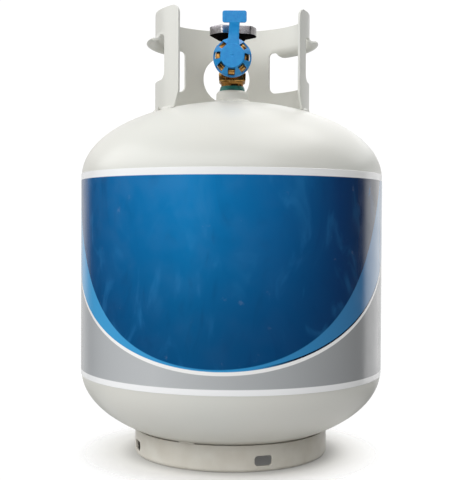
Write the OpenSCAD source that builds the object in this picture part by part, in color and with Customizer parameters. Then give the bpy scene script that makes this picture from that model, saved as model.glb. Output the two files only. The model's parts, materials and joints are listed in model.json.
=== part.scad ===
// Refillable steel propane cylinder with a wrapped collar, a foot ring, a printed sleeve
// and a handwheel valve with an overfill float, a dip tube and a relief valve.
// Millimetres, +Z up, origin at the centre of the foot ring on the floor.
// The valve outlet points along -Y. Azimuths are counted from -Y towards +X.

/* [Tank] */
// Outer radius of the steel shell
body_r = 154.5; // [150:0.5:160]
// Height of the highest point of the upper head
dome_top = 361; // [355:1:370]
// Height of the lowest point of the lower head
dome_bottom = 9; // [8:0.5:12]
// Thickness of the shell plate
wall = 2.2; // [2:0.1:3]
// Thickness of the printed sleeve
sleeve_t = 0.5; // [0.3:0.1:0.8]
// Height of the sleeve's lower edge
sleeve_low = 82.8; // [80:0.2:90]
// Height of the sleeve's upper edge
sleeve_high = 286; // [280:0.5:290]

/* [Foot ring] */
// Outer radius of the foot ring
foot_r = 99.3; // [95:0.1:105]
// Thickness of the foot ring plate
foot_t = 2.5; // [2:0.1:3]
// Width of the flange that the ring's lower edge is turned in to
foot_flange = 9; // [6:0.5:12]
// Width of a vent slot along the ring
slot_w = 17.5; // [12:0.5:24]
// Height of a vent slot
slot_h = 9.6; // [6:0.2:12]
// Height of the middle of the vent slots
slot_z = 10.8; // [9:0.2:14]
// Azimuth of the first vent slot
slot_az = 18.5; // [0:0.5:45]

/* [Collar] */
// Outer radius of the collar
collar_r = 80; // [78:0.5:84]
// Thickness of the collar plate
collar_t = 2.5; // [2:0.1:3]
// Height of the collar's top edge
collar_top = 451; // [445:0.5:455]
// Azimuth of the collar's plane of symmetry
collar_turn = 5; // [-10:0.5:10]
// Front opening, degrees to the left of the plane of symmetry
opening_left = 46.4; // [40:0.2:52]
// Front opening, degrees to the right of the plane of symmetry
opening_right = 52.2; // [40:0.2:54]
// Hand hole's near end, degrees from the plane of symmetry
hand_near = 63.5; // [60:0.5:66]
// Hand hole's far end, degrees from the plane of symmetry
hand_far = 143.4; // [138:0.2:148]
// Height of the hand holes' lower edge
hand_low = 380; // [375:1:385]
// Height at which the grip lip leaves the plate
hand_high = 429; // [425:0.5:432]
// Corner radius of the hand holes
hand_corner = 8; // [4:0.5:10]
// Radius of the round hole at the back
back_r = 26; // [20:0.5:28]
// Height of the round hole's centre
back_z = 397; // [394:0.5:400]
// Half-round drain notches in the foot, degrees from the plane of symmetry
drain_az = 73; // [68:0.5:78]

/* [Valve] */
// Height of the outlet's axis
outlet_z = 402; // [401:0.2:403]
// Radius of the outlet's outer thread
thread_r = 16.65; // [16:0.05:17]
// Radius of the outlet's bore
outlet_bore_r = 11.25; // [11:0.05:11.5]
// Radius of the handwheel's corners
wheel_r = 24.9; // [22.5:0.1:26]
// Distance from the spindle to a flat of the handwheel
wheel_flat = 20; // [16.5:0.1:21]
// Azimuth of the handwheel's front flat
wheel_az = 12; // [-30:1:30]
// Lift of the threaded plunger when the valve is fully open
plunger_lift = 2.4; // [2:0.1:2.4]

/* [Dust cap] */
// Outer radius of the cap's ring
cap_r = 19.2; // [19:0.1:20]
// Radius of the cap's flat front hub
cap_hub_r = 11.8; // [11:0.1:13]
// Turn of the cap about the outlet's axis
cap_turn = 3.5; // [0:0.5:8]
// Width of the pull tab's head
tab_w = 24; // [20:0.5:26]

/* [Overfill float] */
// Height of the float arm's pivot
float_pivot_z = 315; // [312:1:318]
// Radius of the float
float_r = 10.8; // [9:0.1:11]
// Length of the float
float_len = 58; // [40:1:70]

/* [Hidden] */
$fn = 96;
eps = 0.01;
step = 0.04;
fine = 128;
head_h = body_r / 2;
tangent_low = dome_bottom + head_h;
tangent_high = dome_top - head_h;
girth_z = (tangent_low + tangent_high) / 2;
girth_gap = 4;
head_steps = 22;
run = 0.05;
drain_r = 3;
lip_notch = 7;
boss_r = 16.5;
boss_top = 373;
boss_foot = 354.5;
shank_r = 12.5;
shank_foot = 349;
neck_r = 11.5;
cone_foot = boss_top + 1.6;
cone_top = boss_top + 5;
block_z = 382;
block_top = 391.5;
block_w = 28;
block_d = 27;
barrel_r = 13.5;
barrel_top = 416;
chamber_r = 7.3;
chamber_floor = 396;
seat_z = 399.15;
bonnet_bore_r = 10;
bonnet_foot = 409.5;
seal_z = [417.6, 421];
o_ring_r = 0.8;
plunger_foot = seat_z + 2.05;
plunger_h = 8;
slot_floor = plunger_foot + 4;
tang_foot = slot_floor + plunger_lift + 0.4;
flange_foot = plunger_foot + plunger_h + plunger_lift + 0.6;
stem_r = 4;
stem_top = 436;
wheel_low = 429.5;
wheel_high = 438.5;
hub_low = 425.8;
hub_r = 12.5;
nose_r = 14;
nose_y = -43;
mouth_r = 12.3;
mouth_y = -38.5;
thread_y = [-40, -26];
bore_floor_y = -25;
seal_floor_y = -22;
seal_r = 9.5;
poppet_room_r = 8;
poppet_room_y = -12;
throat_r = 4.5;
throat_top = 394;
nozzle_r = 4.2;
nozzle_hole_r = 2.8;
relief_z = 398;
relief_r = 9;
relief_bore_r = 6.5;
relief_y = [13, 27];
relief_seat_r = 2.5;
relief_pin_r = 2;
bleed_x = -8.6;
bleed_z = 385;
bleed_r = 2;
bleed_y = -13.2;
duct_y = -5.5;
duct_r = 0.8;
tube_r = 1.6;
tube_foot = 255;
cap_front_y = -52;
cap_ring_y = [-41, -33];
cap_ring_t = 1.6;
cap_wall = 2.6;
cap_plug_r = mouth_r - 0.4;
cap_slot_w = 7;
cap_slot_y = -38.2;
tab_low = 32.4;
tab_top = 44.2;
tab_t = 2.4;
strap_w = 10.4;
opd_r = 8.2;
opd_top = 355;
opd_foot = 322;
opd_bore_r = 6.4;
opd_spigot_r = 6;
opd_roof = 345;
opd_plug_h = 4;
piston_z = 336;
piston_h = 6;
pin_r = 1.5;
arm_len = 66;
screw_r = 2.4;
collar_foot = head_top_z(collar_r - collar_t);
foot_seam = head_low_z(foot_r);

// Height of the upper head's outside at radius r
function head_top_z(r) = tangent_high + head_h * sqrt(1 - pow(r / body_r, 2));
// Height of the lower head's outside at radius r
function head_low_z(r) = tangent_low - head_h * sqrt(1 - pow(r / body_r, 2));
// Quarter of an ellipse from the rim to the axis, as [radius, rise]
function quarter(a, b, steps) = [for (i = [0:steps]) [a * cos(90 * i / steps), b * sin(90 * i / steps)]];
function backwards(points) = [for (i = [len(points) - 1:-1:0]) points[i]];

// Turns a shape that is drawn at azimuth 0 to an azimuth
module at_az(a) { rotate([0, 0, a]) children(); }

// Wedge of azimuths, from the axis outwards
module wedge(from_az, to_az, z_low, z_high, far = 120) {
    steps = 6;
    span = to_az - from_az;
    outline = concat([[0, 0]], [for (i = [0:steps]) let (a = from_az + span * i / steps)
        [far * sin(a), -far * cos(a)]]);
    translate([0, 0, z_low]) linear_extrude(z_high - z_low) polygon(outline);
}

// Cylinder along -Y between two places on that axis
module along_y(r, y_from, y_to, z = 0, x = 0) {
    translate([x, max(y_from, y_to), z]) rotate([90, 0, 0]) cylinder(r = r, h = abs(y_to - y_from));
}

// One deep-drawn half of the tank, open at z = 0, head pointing up, skirt pointing down
module half_shell(skirt) {
    outer = concat([[body_r, -skirt]], quarter(body_r, head_h, head_steps));
    inner = concat([[body_r - wall, -skirt]], quarter(body_r - wall, head_h - wall, head_steps));
    rotate_extrude($fn = fine) polygon(concat(outer, backwards(inner)));
}

module upper_shell() {
    color("#dcdcd6") difference() {
        translate([0, 0, tangent_high]) half_shell(tangent_high - girth_z - girth_gap / 2);
        translate([0, 0, boss_foot]) cylinder(r = boss_r, h = 30);
    }
}

module lower_shell() {
    color("#cfcabf") translate([0, 0, tangent_low])
        mirror([0, 0, 1]) half_shell(girth_z - tangent_low - girth_gap / 2);
}

module girth_weld() {
    color("#b9b6ac") translate([0, 0, girth_z]) rotate_extrude($fn = fine)
        polygon([[body_r - wall - 0.8, -1.2], [body_r - wall, -girth_gap / 2], [body_r, -girth_gap / 2],
            [body_r, girth_gap / 2], [body_r - wall, girth_gap / 2], [body_r - wall - 0.8, 1.2]]);
}

module label_sleeve() {
    out = body_r + sleeve_t;
    drop = tangent_low - sleeve_low;
    rise = sleeve_high - tangent_high;
    low_edge = body_r * sqrt(1 - pow(drop / head_h, 2));
    high_edge = body_r * sqrt(1 - pow(rise / head_h, 2));
    color("#1560a0") rotate_extrude($fn = fine)
        polygon([[low_edge, sleeve_low], [low_edge + sleeve_t, sleeve_low], [out, tangent_low],
            [out, tangent_high], [high_edge + sleeve_t, sleeve_high], [high_edge, sleeve_high],
            [body_r, tangent_high], [body_r, tangent_low]]);
}

module foot_ring() {
    seam = head_low_z(foot_r - foot_t) - 0.1;
    color("#cfcabf") difference() {
        rotate_extrude($fn = fine) union() {
            translate([foot_r - foot_t, 0]) square([foot_t, seam]);
            translate([foot_r - foot_flange, 0]) square([foot_flange - eps, foot_t]);
        }
        for (a = [0:90:270]) at_az(slot_az + a) foot_slot();
    }
}

// Round-ended slot tool, drawn at azimuth 0
module foot_slot() {
    corner = 3;
    translate([0, -80, 0]) rotate([90, 0, 0]) linear_extrude(40) union() {
        translate([-slot_w / 2, slot_z - slot_h / 2 + corner]) square([slot_w, slot_h - 2 * corner]);
        translate([-slot_w / 2 + corner, slot_z - slot_h / 2]) square([slot_w - 2 * corner, slot_h]);
        for (x = [-1, 1], z = [-1, 1])
            translate([x * (slot_w / 2 - corner), slot_z + z * (slot_h / 2 - corner)]) circle(corner);
    }
}

// Three short fillet beads between the foot ring and the lower head
module foot_ring_welds() {
    seam = head_low_z(foot_r - foot_t) - 0.1;
    for (a = [-25, 95, 215])
        color("#c9c4b8") at_az(a - 90 - 6) rotate_extrude(angle = 12)
            polygon([[foot_r, seam - 3], [foot_r, seam], [foot_r - foot_t + 0.2, seam],
                [foot_r, foot_seam - 0.02], [foot_r + 3, head_low_z(foot_r + 3) - 0.02]]);
}

// Middle line of the curled grip lip: a quarter of an ellipse down and out, then a short upturned tip
function lip_line(r, z) = let (out = 6.6, down = 8.6, tip = 3.4) concat(
    [for (a = [180:10:270]) [r + out + out * cos(a), z + down * sin(a)]],
    [for (a = [285:15:330]) [r + out + tip * cos(a), z - down + tip + tip * sin(a)]]);

// Curled grip lip above a hand hole, from azimuth 90 on over span
module grip_lip(span) {
    line = lip_line(collar_r - collar_t / 2, hand_high);
    last = len(line) - 1;
    sides = [for (i = [0:last]) let (d = line[min(i + 1, last)] - line[max(i - 1, 0)])
        [-d[1], d[0]] / norm(d) * collar_t / 2];
    top = [[collar_r, hand_high + 1], [collar_r - collar_t, hand_high + 1]];
    rotate_extrude(angle = span) polygon(concat(top, [for (i = [0:last]) line[i] - sides[i]],
        [for (i = [last:-1:0]) line[i] + sides[i]]));
}

module collar() {
    centre = (hand_near + hand_far) / 2;
    lip_half = (hand_far - hand_near) / 2 - lip_notch;
    color("#d8d8d2") at_az(collar_turn) union() {
        difference() {
            at_az(-90) translate([0, 0, collar_foot]) difference() {
                cylinder(r = collar_r, h = collar_top - collar_foot, $fn = fine);
                translate([0, 0, -1]) cylinder(r = collar_r - collar_t, h = 120, $fn = fine);
            }
            wedge(-opening_left, opening_right, 340, 460);
            for (s = [-1, 1]) hand_hole(s);
            at_az(180) along_y(back_r, -100, -60, back_z);
            front_corner(-1, opening_left);
            front_corner(1, opening_right);
            for (s = [-1, 1]) at_az(s * drain_az) along_y(drain_r, -100, -60, collar_foot + 0.5);
        }
        for (s = [-1, 1]) at_az(s * centre - lip_half - 90) grip_lip(2 * lip_half);
    }
}

// Points of a quarter circle from one angle to another, 15 degrees apart
function arc(x, z, r, from, to) = let (n = abs(to - from) / 15)
    [for (i = [0:n]) let (a = from + (to - from) * i / n) [x + r * cos(a), z + r * sin(a)]];

// Prism that goes out through the collar at an azimuth, drawn as an outline of [along, height]
module through(az) {
    at_az(az) translate([0, -70, 0]) rotate([90, 0, 0]) linear_extrude(20) children();
}

// Hand hole tool on one side: a wedge of azimuths between two ends with rounded corners
module hand_hole(side) {
    inset = hand_corner / collar_r * 180 / PI;
    near = side * hand_near;
    far = side * hand_far;
    low = hand_low + step;
    high = hand_high - step;
    wedge(min(near, far) + inset - 1, max(near, far) - inset + 1, hand_low, hand_high);
    for (end = [[near, side], [far, -side]])
        through(end[0] + end[1] * inset) mirror([end[1] > 0 ? 0 : 1, 0]) polygon(concat(
            [[3, low]], arc(0, low + hand_corner, hand_corner, 270, 180),
            arc(0, high - hand_corner, hand_corner, 180, 90), [[3, high]]));
}

// Takes off the square top corner and the slanted bottom corner beside the front opening
module front_corner(side, edge) {
    round_r = 9;
    inset = round_r / collar_r * 180 / PI;
    through(side * (edge + inset)) mirror([side > 0 ? 0 : 1, 0]) polygon(concat(
        [[0, collar_top + 1]], arc(0, collar_top - round_r, round_r, 90, 180),
        [[-round_r - 3, collar_top - round_r], [-round_r - 3, collar_top + 1]]));
    through(side * edge) mirror([side > 0 ? 0 : 1, 0])
        polygon([[-4, 345], [8.4, 345], [0, 366], [-4, 366]]);
}

// Fillet beads along the feet of the collar
module collar_welds() {
    ends = [[-128, -80], [-66, -52.5], [58.5, 66], [80, 128], [150, 210]];
    for (e = ends)
        color("#cfcfc8") at_az(collar_turn + e[0] - 90) rotate_extrude(angle = e[1] - e[0])
            polygon([[collar_r - collar_t + 0.3, collar_foot - 0.02], [collar_r, collar_foot - 0.02],
                [collar_r, collar_foot + 3], [collar_r + 3.4, head_top_z(collar_r + 3.4) + 0.05],
                [collar_r, head_top_z(collar_r) + 0.05]]);
}

module valve_boss() {
    color("#dcdcd6") rotate_extrude() polygon([[shank_r, boss_foot], [boss_r, boss_foot],
        [boss_r, boss_top - 3], [boss_r - 0.5, boss_top - 2.4], [boss_r - 0.9, boss_top - 0.8],
        [boss_r - 1.8, boss_top], [shank_r, boss_top]]);
}

module boss_weld() {
    low = head_top_z(boss_r);
    toe = [boss_r + 4, head_top_z(boss_r + 4) + 0.03];
    color("#d8d8d2") rotate_extrude()
        polygon([[boss_r, low + 0.02], toe, [boss_r + 1.6, low + 1.4], [boss_r, low + 4]]);
}

module thread_sealant() {
    color("#1f8f86") rotate_extrude() polygon([[shank_r, boss_top], [shank_r + 0.6, boss_top],
        [shank_r + 0.5, cone_foot], [neck_r + 0.5, cone_top], [neck_r, cone_top], [shank_r, cone_foot]]);
}

module valve_body() {
    color("#b08a45") difference() {
        union() {
            translate([0, 0, shank_foot]) cylinder(r = shank_r, h = cone_foot - shank_foot);
            translate([0, 0, cone_foot]) cylinder(r1 = shank_r, r2 = neck_r, h = cone_top - cone_foot);
            translate([0, 0, cone_top - eps]) cylinder(r = neck_r, h = block_z - cone_top + 2 * eps);
            translate([0, 0, block_z]) linear_extrude(block_top - block_z) intersection() {
                square([block_w, block_d], center = true);
                circle(r = 17.5);
            }
            translate([0, 0, block_z]) cylinder(r = barrel_r, h = barrel_top - block_z);
            along_y(barrel_r, thread_y[1], 0, outlet_z);
            along_y(thread_r, thread_y[0], thread_y[1], outlet_z);
            along_y(nose_r, nose_y, thread_y[0] + eps, outlet_z);
            along_y(relief_r, 0, relief_y[1], relief_z);
        }
        tank_way();
        outlet_way();
        relief_way();
        bleeder_way();
    }
}

// Way up from the tank to the seat nozzle, the chamber round it and the bonnet's socket
module tank_way() {
    translate([0, 0, shank_foot - 1]) cylinder(r = opd_spigot_r, h = opd_top - shank_foot + 1);
    translate([0, 0, opd_top - 1]) cylinder(r = throat_r, h = throat_top - opd_top + 1);
    translate([0, 0, throat_top - 1]) cylinder(r = nozzle_hole_r, h = 10);
    translate([0, 0, chamber_floor]) difference() {
        cylinder(r = chamber_r, h = bonnet_foot - chamber_floor + eps);
        translate([0, 0, -1]) cylinder(r = nozzle_r, h = seat_z - chamber_floor + 1);
    }
    translate([0, 0, bonnet_foot]) cylinder(r = bonnet_bore_r, h = 10);
}

// Outlet: passage from the chamber, poppet room, seal seat, bore and a wider mouth
module outlet_way() {
    passage_r = 2.2;
    along_y(passage_r, poppet_room_y - 2, -6.2, chamber_floor + 2.6);
    along_y(poppet_room_r, bore_floor_y - 0.5, poppet_room_y, outlet_z);
    along_y(seal_r, bore_floor_y - eps, seal_floor_y, outlet_z);
    along_y(outlet_bore_r, mouth_y - 1, bore_floor_y, outlet_z);
    along_y(mouth_r, nose_y - 1, mouth_y, outlet_z);
}

// Relief valve: spring room, seat hole and the slanted way up to it from the throat
module relief_way() {
    slant_r = 1.6;
    along_y(relief_bore_r, relief_y[0], relief_y[1] + 1, relief_z);
    along_y(relief_seat_r, relief_y[0] - 2.5, relief_y[0] + 1, relief_z);
    translate([0, 2, 386.5]) rotate([-44, 0, 0]) cylinder(r = slant_r, h = 15);
}

// Bleeder's socket and the duct down to the dip tube
module bleeder_way() {
    along_y(bleed_r, bleed_y - 1.8, duct_y, bleed_z, bleed_x);
    translate([bleed_x, duct_y, shank_foot - 1]) cylinder(r = duct_r, h = bleed_z - shank_foot + 1);
    translate([bleed_x, duct_y, shank_foot - 1]) cylinder(r = tube_r, h = opd_top - shank_foot + 1);
}

module bonnet() {
    color("#b08a45") difference() {
        union() {
            translate([0, 0, bonnet_foot]) cylinder(r = bonnet_bore_r, h = barrel_top - bonnet_foot);
            translate([0, 0, barrel_top]) cylinder(r = 12.7, h = 5.5, $fn = 6);
            translate([0, 0, barrel_top]) cylinder(r = 7, h = 8.6);
        }
        translate([0, 0, bonnet_foot - 1]) cylinder(r = 7.7, h = 6.3);
        cylinder(r = stem_r + run, h = 430);
        for (z = seal_z) translate([0, 0, z - 1]) cylinder(r = stem_r + run + 2 * o_ring_r, h = 2);
    }
}

module stem_seals() {
    for (z = seal_z) color("#202020") translate([0, 0, z])
        rotate_extrude() translate([stem_r + run + o_ring_r, 0]) circle(r = o_ring_r, $fn = 24);
}

module stem() {
    color("#b9a05a") difference() {
        union() {
            translate([0, 0, flange_foot]) cylinder(r = 6.4, h = 2.3);
            translate([0, 0, flange_foot + 2]) cylinder(r = stem_r, h = stem_top - flange_foot - 2);
            translate([-5, -1.2, tang_foot]) cube([10, 2.4, flange_foot - tang_foot + 0.1]);
        }
        translate([0, 0, stem_top - 10]) cylinder(r = screw_r, h = 11);
    }
}

module handwheel() {
    color("#8e8e92") difference() {
        union() {
            translate([0, 0, wheel_low]) linear_extrude(wheel_high - wheel_low) wheel_outline();
            translate([0, 0, hub_low]) cylinder(r1 = hub_r, r2 = 16.2, h = wheel_low - hub_low + eps);
        }
        translate([0, 0, wheel_high - 2.5]) linear_extrude(3) offset_outline();
        translate([0, 0, hub_low - 1]) cylinder(r = stem_r, h = 20);
    }
}

// Rounded triangle: three flats cut from a round blank
module wheel_outline() {
    intersection() {
        circle(r = wheel_r);
        at_az(wheel_az - 30) circle(r = 2 * wheel_flat, $fn = 3);
    }
}

module offset_outline() {
    intersection() {
        circle(r = wheel_r - 3);
        at_az(wheel_az - 30) circle(r = 2 * (wheel_flat - 3), $fn = 3);
    }
}

module handwheel_screw() {
    color("#a0a0a4") difference() {
        union() {
            translate([0, 0, stem_top]) cylinder(r1 = 4.8, r2 = 3.6, h = 2.6);
            translate([0, 0, stem_top - 9.5]) cylinder(r = screw_r, h = 10);
        }
        translate([-6, -0.5, stem_top + 1.5]) cube([12, 1, 2]);
    }
}

module plunger() {
    color("#b9a05a") difference() {
        translate([0, 0, plunger_foot]) cylinder(r = chamber_r - run, h = plunger_h);
        translate([-10, -1.5, slot_floor]) cube([20, 3, 10]);
    }
}

module seat_disc() {
    color("#303030") translate([0, 0, seat_z + 0.05]) cylinder(r = 5, h = plunger_foot - seat_z - 0.05);
}

module outlet_seal() {
    color("#202020") difference() {
        along_y(seal_r, bore_floor_y, seal_floor_y, outlet_z);
        along_y(5.2, bore_floor_y - 1, seal_floor_y + 1, outlet_z);
    }
}

module outlet_poppet() {
    color("#c0a060") union() {
        along_y(3.2, bore_floor_y + 0.4, seal_floor_y + 1, outlet_z);
        along_y(7, seal_floor_y + 0.4, seal_floor_y + 2.6, outlet_z);
        along_y(2.5, seal_floor_y + 2.6, seal_floor_y + 6.5, outlet_z);
    }
}

// Coil spring along +Z from z = 0, one closed tube swept along a helix
module coil_spring(mean_r, wire_r, turns, length) {
    sides = 6;
    per_turn = 14;
    rings = turns * per_turn;
    points = [for (i = [0:rings], s = [0:sides - 1])
        let (a = 360 * i / per_turn, b = 360 * s / sides, r = mean_r + wire_r * cos(b))
        [r * cos(a), r * sin(a), wire_r + (length - 2 * wire_r) * i / rings + wire_r * sin(b)]];
    walls = [for (i = [0:rings - 1], s = [0:sides - 1])
        let (n = (s + 1) % sides) [i * sides + s, (i + 1) * sides + s, (i + 1) * sides + n, i * sides + n]];
    start = [for (s = [0:sides - 1]) s];
    end = [for (s = [sides - 1:-1:0]) rings * sides + s];
    polyhedron(points = points, faces = concat(walls, [start], [end]), convexity = 10);
}

module outlet_spring() {
    color("#b0b0b4") translate([0, poppet_room_y - 0.1, outlet_z])
        rotate([90, 0, 0]) coil_spring(5, 0.5, 4, 7.2);
}

module relief_bushing() {
    color("#b08a45") difference() {
        along_y(relief_bore_r, 23, 26, relief_z);
        along_y(relief_pin_r + run, 22, 27, relief_z);
        for (a = [0:90:270]) translate([0, 0, relief_z]) rotate([0, a, 0])
            along_y(1.1, 22, 27, 0, 4.2);
    }
}

module relief_poppet() {
    color("#c0a060") union() {
        along_y(4.6, relief_y[0] + 0.05, relief_y[0] + 3, relief_z);
        along_y(relief_pin_r, relief_y[0] + 2.9, 25.5, relief_z);
    }
}

module relief_spring() {
    color("#b0b0b4") translate([0, 22.9, relief_z]) rotate([90, 0, 0]) coil_spring(3.4, 0.6, 4, 6.8);
}

module bleeder_screw() {
    color("#9a8a60") difference() {
        along_y(bleed_r - run, bleed_y, duct_y - 1.2, bleed_z, bleed_x);
        translate([bleed_x - 3, bleed_y - 0.8, bleed_z - 0.35]) cube([6, 1.8, 0.7]);
    }
}

module dip_tube() {
    length = opd_top - tube_foot;
    color("#c8b070") translate([bleed_x, duct_y, tube_foot]) difference() {
        cylinder(r = tube_r, h = length);
        translate([0, 0, -1]) cylinder(r = duct_r, h = length + 2);
    }
}

// Housing of the overfill stop: pressed into the valve's foot, with two lugs for the float arm
module opd_body() {
    color("#e0ddd0") difference() {
        union() {
            translate([0, 0, opd_foot]) cylinder(r = opd_r, h = shank_foot - opd_foot);
            translate([0, 0, shank_foot - eps]) cylinder(r = opd_spigot_r, h = opd_top - shank_foot);
        }
        translate([0, 0, opd_roof]) cylinder(r = 3.6, h = 20);
        translate([0, 0, opd_foot - 1]) cylinder(r = opd_bore_r, h = opd_roof - opd_foot + 1);
        for (a = [45:90:315]) at_az(a) along_y(2.2, -12, 0, piston_z - 4);
    }
}

// Plug that closes the housing's foot and carries the lugs
module opd_cap() {
    color("#e0ddd0") difference() {
        union() {
            translate([0, 0, opd_foot]) cylinder(r = opd_bore_r, h = opd_plug_h);
            translate([0, 0, opd_foot - 2]) cylinder(r = opd_r, h = 2);
            for (x = [-6.2, 3.2]) translate([x, -3.5, float_pivot_z - 3.5])
                cube([3, 7, opd_foot - float_pivot_z + 2]);
        }
        translate([-10, 0, float_pivot_z]) rotate([0, 90, 0]) cylinder(r = pin_r, h = 20);
        translate([0, 0, opd_foot - 3]) cylinder(r = 2, h = 10);
    }
}

module opd_piston() {
    color("#404040") translate([0, 0, piston_z]) cylinder(r = 5, h = piston_h);
}

module opd_spring() {
    color("#b0b0b4") translate([0, 0, opd_foot + opd_plug_h + 0.1])
        coil_spring(4.3, 0.5, 4, piston_z - opd_foot - opd_plug_h - 0.3);
}

module float_pin() {
    color("#b0b0b4") translate([-6.6, 0, float_pivot_z]) rotate([0, 90, 0]) cylinder(r = pin_r, h = 13.2);
}

module float_arm() {
    color("#c8c4b8") difference() {
        union() {
            translate([-2.6, 0, float_pivot_z]) rotate([0, 90, 0]) cylinder(r = 4, h = 5.2);
            translate([-1.5, -3, float_pivot_z - arm_len]) cube([3, 6, arm_len - 2]);
        }
        translate([-4, 0, float_pivot_z]) rotate([0, 90, 0]) cylinder(r = pin_r + run, h = 8);
    }
}

module float_bulb() {
    color("#3a3a3a") translate([0, 0, float_pivot_z - arm_len - float_len])
        cylinder(r = float_r, h = float_len);
}

// Push-on cap: flat hub, seven open slots in the skirt, a ring over the thread, a short plug and a tab
module dust_cap() {
    slot_from = cap_hub_r + 0.2;
    slot_y = cap_front_y - 1;
    color("#2f9fe0") translate([0, 0, outlet_z]) rotate([0, cap_turn, 0]) union() {
        difference() {
            rotate([90, 0, 0]) rotate_extrude() cap_profile();
            for (i = [1:7]) rotate([0, 45 * i, 0]) translate([-cap_slot_w / 2, slot_y, slot_from])
                cube([cap_slot_w, cap_slot_y - slot_y, cap_r - slot_from + 1]);
        }
        tab();
    }
}

// Half section of the cap: radius, and distance from the outlet's root towards the front
module cap_profile() {
    front = -cap_front_y;
    back = front - cap_wall;
    ring_front = -cap_ring_y[0];
    ring_back = -cap_ring_y[1];
    inner = cap_r - cap_ring_t;
    skirt = [[inner, ring_front - 0.4], [cap_hub_r - 0.4, back]];
    share = (inner - cap_plug_r) / (inner - cap_hub_r + 0.4);
    plug_foot = skirt[0] + share * (skirt[1] - skirt[0]);
    plug_end = -mouth_y + 0.8;
    polygon([[0, front], [cap_hub_r - 0.8, front], [cap_hub_r, front - 0.5], [cap_r - 0.5, ring_front + 0.6],
        [cap_r, ring_front], [cap_r, ring_back], [inner, ring_back], skirt[0], plug_foot,
        [cap_plug_r, plug_end], [cap_plug_r - 1.5, plug_end], [cap_plug_r - 1.5, back], [0, back]]);
}

// Pull tab: a strap that leans with the cap's turn, and a head that stays level
module tab() {
    corner = 2;
    tab_h = tab_top - tab_low;
    back_y = cap_front_y + 0.2 + tab_t;
    translate([0, back_y, 0]) rotate([90, 0, 0]) linear_extrude(tab_t) union() {
        translate([-strap_w / 2, cap_hub_r - 3]) square([strap_w, tab_low - cap_hub_r + 4]);
        translate([0, tab_low]) rotate(cap_turn) union() {
            translate([-tab_w / 2, corner]) square([tab_w, tab_h - 2 * corner]);
            translate([-tab_w / 2 + corner, 0]) square([tab_w - 2 * corner, tab_h]);
            for (x = [-1, 1], z = [corner, tab_h - corner])
                translate([x * (tab_w / 2 - corner), z]) circle(corner);
        }
    }
}

upper_shell();
lower_shell();
girth_weld();
label_sleeve();
foot_ring();
foot_ring_welds();
collar();
collar_welds();
valve_boss();
boss_weld();
thread_sealant();
valve_body();
bonnet();
stem_seals();
stem();
handwheel();
handwheel_screw();
plunger();
seat_disc();
outlet_seal();
outlet_poppet();
outlet_spring();
relief_bushing();
relief_poppet();
relief_spring();
bleeder_screw();
dip_tube();
opd_body();
opd_cap();
opd_piston();
opd_spring();
float_pin();
float_arm();
float_bulb();
dust_cap();
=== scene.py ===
import json
import math
import random

import bmesh
import bpy
from mathutils import Matrix, Vector


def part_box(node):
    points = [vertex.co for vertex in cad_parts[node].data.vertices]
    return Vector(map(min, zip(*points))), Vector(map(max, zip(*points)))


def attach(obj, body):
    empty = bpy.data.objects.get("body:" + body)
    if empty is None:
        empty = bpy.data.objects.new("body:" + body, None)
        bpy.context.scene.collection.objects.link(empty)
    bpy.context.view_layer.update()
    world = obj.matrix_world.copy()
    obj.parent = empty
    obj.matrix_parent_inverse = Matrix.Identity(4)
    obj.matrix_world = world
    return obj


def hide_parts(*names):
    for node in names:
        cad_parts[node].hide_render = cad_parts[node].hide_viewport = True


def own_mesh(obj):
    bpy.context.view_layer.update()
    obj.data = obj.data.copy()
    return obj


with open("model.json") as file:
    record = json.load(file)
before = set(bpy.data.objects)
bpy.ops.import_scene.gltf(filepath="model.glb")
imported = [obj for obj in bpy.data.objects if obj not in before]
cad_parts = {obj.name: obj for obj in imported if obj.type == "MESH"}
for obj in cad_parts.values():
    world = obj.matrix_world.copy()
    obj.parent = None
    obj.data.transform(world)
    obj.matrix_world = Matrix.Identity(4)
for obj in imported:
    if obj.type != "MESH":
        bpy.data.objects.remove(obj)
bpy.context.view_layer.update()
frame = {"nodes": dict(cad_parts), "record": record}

# Looks of a refillable propane cylinder. Sizes are in millimetres up to finished, which scales them.
# Azimuths are in degrees from the front (-Y) towards the right (+X).
MM = 0.001
scene = bpy.context.scene
record = frame["record"]
BODY_OF = {n: body for body, nodes in record["behaviour"]["bodies"].items() for n in nodes}
SLOT_OF = {part["node"]: part["material_slot"] for part in record["subparts"]}
randoms = random.Random(7)


def span(node):
    """Lowest and highest corner of a CAD node, in millimetres."""
    low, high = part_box(node)
    return low / MM, high / MM


# Driving dimensions, most of them read from the frame
BODY_R = span("upper_shell")[1].x
WALL = 2.2
HEAD_H = BODY_R / 2
TANGENT_LOW = span("lower_shell")[0].z + HEAD_H
GIRTH_LOW = span("lower_shell")[1].z
GIRTH_HIGH = span("upper_shell")[0].z
TANGENT_HIGH = GIRTH_LOW + GIRTH_HIGH - TANGENT_LOW
SLEEVE_LOW, SLEEVE_HIGH = (corner.z for corner in span("label_sleeve"))
SLEEVE_R = span("label_sleeve")[1].x
FOOT_R = span("foot_ring")[1].x
FOOT_TOP = span("foot_ring")[1].z
FOOT_T = 2.5
SLOT_AZ = 18.5
COLLAR_R = 80.0
COLLAR_T = 2.5
COLLAR_MID = COLLAR_R - COLLAR_T / 2
COLLAR_TOP = span("collar")[1].z
COLLAR_TURN = 5.0
BOSS_R = span("valve_boss")[1].x
BOSS_TOP = span("valve_boss")[1].z
OUTLET_Z = 402.0
RELIEF_Z = 398.0
THREAD_R = 16.65
BLEED = span("bleeder_screw")
WHEEL_LOW, WHEEL_HIGH = (corner.z for corner in span("handwheel"))
WHEEL_R = span("handwheel")[1].x
WHEEL_FLAT = 20.0
WHEEL_RIM = 429.5
WHEEL_AZ = 12
CAP_R = 19.2
CAP_HUB_R = 11.8
CAP_TURN = math.radians(3.5)
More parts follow.
